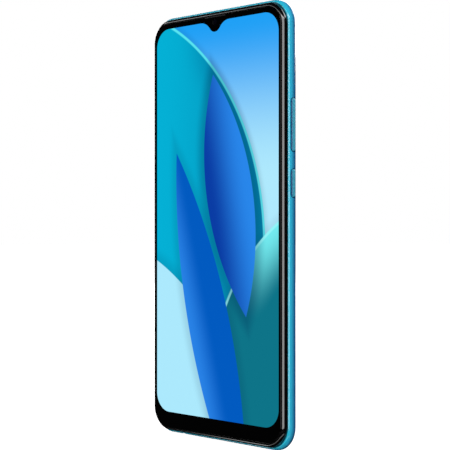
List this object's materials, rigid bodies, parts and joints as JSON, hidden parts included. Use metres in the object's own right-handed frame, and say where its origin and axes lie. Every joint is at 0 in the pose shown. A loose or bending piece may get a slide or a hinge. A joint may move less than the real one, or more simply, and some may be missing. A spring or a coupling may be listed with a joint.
{
  "type": "smartphone",
  "caption": "Slim touch-screen phone with a drop-notch display, black front ring, glossy blue unibody back, side keys, card tray and bottom ports.",
  "frame": {"origin": "centre of the bounding box of the whole phone, camera bump and keys included", "axes": "+Z along the phone's length towards the earpiece end, -Y out of the screen, +X towards the side that carries the volume and power keys"},
  "size_m": [0.0752, 0.0094, 0.164],
  "materials": {
    "front_glass": "polished",
    "black_frame": "gloss",
    "blue_shell": "gloss, graded from bright blue at the lip to navy",
    "key_blue": "satin gloss",
    "panel": "lit display",
    "steel": "satin",
    "circuit_board": "satin",
    "battery_wrap": "matte",
    "flex_film": "satin",
    "black_plastic": "matte",
    "lens_glass": "polished",
    "flash_yellow": "satin",
    "graphite": "matte",
    "adhesive": "matte",
    "brass": "satin"
  },
  "bodies": {
    "chassis": {"rear_cover": "blue_shell", "mid_frame": "black_frame", "cover_glass": "front_glass", "display_adhesive": "adhesive", "display_panel": "panel", "backlight_unit": "steel", "display_flex": "flex_film", "front_camera": "black_plastic", "front_camera_lens": "lens_glass", "earpiece_receiver": "black_plastic", "earpiece_mesh": "steel", "main_board": "circuit_board", "shield_can_left": "steel", "shield_can_right": "steel", "flash_led": "flash_yellow", "sim_reader": "steel", "lever_pivot_pin": "steel", "main_camera_housing": "black_plastic", "macro_camera": "black_plastic", "depth_camera": "black_plastic", "camera_island": "black_plastic", "main_lens_window": "lens_glass", "macro_lens_window": "lens_glass", "depth_lens_window": "lens_glass", "flash_window": "flash_yellow", "battery": "battery_wrap", "battery_board": "circuit_board", "battery_pull_tab": "adhesive", "main_flex": "flex_film", "graphite_sheet": "graphite", "side_key_flex": "flex_film", "volume_up_switch": "steel", "volume_down_switch": "steel", "power_switch": "steel", "upper_bracket": "black_plastic", "sub_board": "circuit_board", "usb_c_shell": "steel", "usb_c_tongue": "black_plastic", "headphone_jack": "black_plastic", "bottom_microphone": "steel", "loudspeaker_box": "black_plastic", "speaker_driver": "steel", "vibration_motor_case": "steel", "bracket_screw_1": "steel", "bracket_screw_2": "steel", "bracket_screw_3": "steel", "bracket_screw_4": "steel", "bracket_screw_5": "steel", "speaker_screw_1": "steel", "speaker_screw_2": "steel", "sub_board_screw": "steel"},
    "volume_rocker": {"volume_rocker": "key_blue"},
    "power_key": {"power_key": "key_blue"},
    "sim_tray": {"sim_tray": "key_blue"},
    "eject_rod": {"eject_rod": "steel"},
    "eject_lever": {"eject_lever": "steel"},
    "focus_barrel": {"main_camera_barrel": "black_plastic"},
    "speaker_diaphragm": {"speaker_diaphragm": "black_plastic"},
    "vibration_rotor": {"vibration_rotor": "brass"}
  },
  "joints": [
    {"name": "volume_rock", "type": "hinge", "parent": "chassis", "child": "volume_rocker", "pos_m": [0.036, -0.00065, 0.036], "axis": [0, 1, 0], "range_deg": [-1.6, 1.6], "stiffness_Nm_per_rad": 0.3},
    {"name": "power_press", "type": "slide", "parent": "chassis", "child": "power_key", "axis": [-1, 0, 0], "range_m": [0, 0.00025], "stiffness_N_per_m": 4000},
    {"name": "tray_slide", "type": "slide", "parent": "chassis", "child": "sim_tray", "axis": [-1, 0, 0], "range_m": [0, 0.046]},
    {"name": "eject_push", "type": "slide", "parent": "chassis", "child": "eject_rod", "axis": [1, 0, 0], "range_m": [0, 0.002]},
    {"name": "eject_lever_turn", "type": "hinge", "parent": "chassis", "child": "eject_lever", "pos_m": [0.0097, 0, 0.044], "axis": [0, 1, 0], "range_deg": [-22.92, 0]},
    {"name": "focus", "type": "slide", "parent": "chassis", "child": "focus_barrel", "axis": [0, 1, 0], "range_m": [0, 0.0003], "stiffness_N_per_m": 200},
    {"name": "speaker_stroke", "type": "slide", "parent": "chassis", "child": "speaker_diaphragm", "axis": [0, 1, 0], "range_m": [-0.0003, 0.0003], "stiffness_N_per_m": 500},
    {"name": "vibration_spin", "type": "hinge", "parent": "chassis", "child": "vibration_rotor", "pos_m": [-0.0275, 0.00035, -0.0605], "axis": [0, 1, 0], "continuous": true}
  ],
  "couplings": [
    {"joint": "eject_lever_turn", "follows": "eject_push", "rad_per_m": -200}
  ]
}
